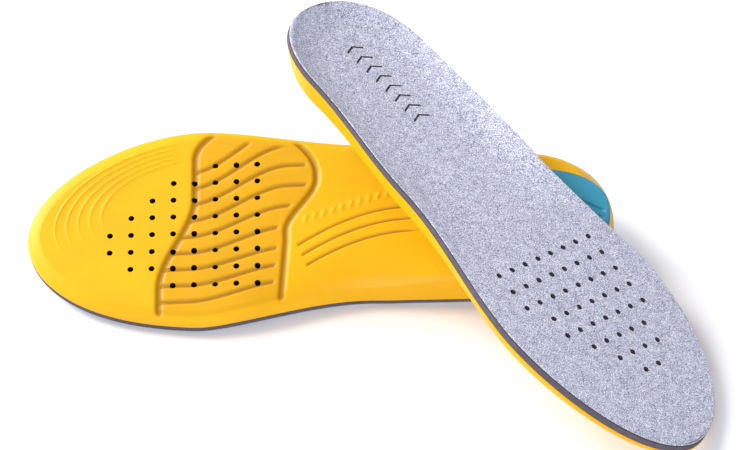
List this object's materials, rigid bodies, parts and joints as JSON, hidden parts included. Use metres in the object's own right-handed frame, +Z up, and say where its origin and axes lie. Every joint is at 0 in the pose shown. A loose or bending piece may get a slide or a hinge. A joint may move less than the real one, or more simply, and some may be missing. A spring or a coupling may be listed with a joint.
{
  "type": "cushioned insole pair",
  "caption": "Pair of full-length cushioned insoles, one face up and one sole up, with moulded foam bodies, heel pads and perforated forefeet.",
  "frame": {"origin": "on the floor under the middle of the pair's bounding box", "axes": "+Z up, +X along the left insole from its toe to its heel, -Y towards its arch side"},
  "size_m": [0.3048, 0.2126, 0.0923],
  "materials": {
    "foam": "moulded skin, satin",
    "pad": "moulded, satin",
    "lining": "cut foam, matt",
    "cover": "brushed, heathered"
  },
  "bodies": {
    "left_insole": {"left_foam_body": "foam", "left_heel_pad": "pad", "left_lining": "lining", "left_top_cover": "cover"},
    "right_insole": {"right_foam_body": "foam", "right_heel_pad": "pad", "right_lining": "lining", "right_top_cover": "cover"}
  },
  "joints": [
    {"name": "right_insole_lift", "type": "slide", "parent": "left_insole", "child": "right_insole", "axis": [0, 0, 1], "range_m": [0, 0.12]}
  ]
}
